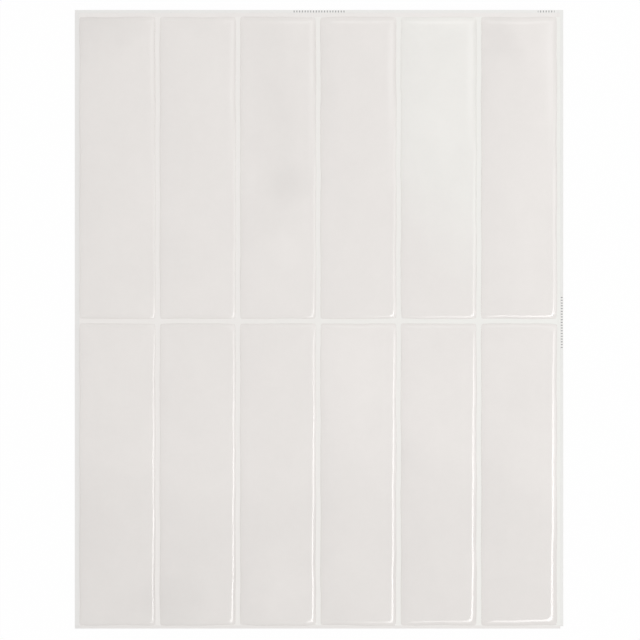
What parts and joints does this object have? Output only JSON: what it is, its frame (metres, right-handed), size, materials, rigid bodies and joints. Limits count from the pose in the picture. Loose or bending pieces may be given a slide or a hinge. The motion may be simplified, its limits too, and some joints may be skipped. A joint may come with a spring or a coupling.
{
  "type": "peel and stick backsplash tile sheet",
  "caption": "Flat self-adhesive backsplash sheet: tall glossy domed gel tiles in two rows on a thin printed film with lap strips and a release liner.",
  "frame": {"origin": "middle of the release liner's underside, at the middle of the sheet's outline", "axes": "+X across the tiles to the right, +Y up the sheet as it hangs on a wall, +Z out of its face"},
  "size_m": [0.2292, 0.2904, 0.002],
  "materials": {
    "release_paper": "smooth coated release paper",
    "printed_film": "satin printed vinyl film, pale warm grey",
    "glazed_gel": "glossy off-white glaze look, softly mottled",
    "pale_glazed_gel": "glossy off-white glaze look, a shade paler"
  },
  "bodies": {
    "root": {"release_liner": "release_paper", "backing_film": "printed_film", "tile_row_1_column_1": "glazed_gel", "tile_row_1_column_2": "glazed_gel", "tile_row_1_column_3": "glazed_gel", "tile_row_1_column_4": "glazed_gel", "tile_row_1_column_5": "pale_glazed_gel", "tile_row_1_column_6": "glazed_gel", "tile_row_2_column_1": "glazed_gel", "tile_row_2_column_2": "glazed_gel", "tile_row_2_column_3": "glazed_gel", "tile_row_2_column_4": "glazed_gel", "tile_row_2_column_5": "glazed_gel", "tile_row_2_column_6": "glazed_gel"}
  },
  "joints": []
}
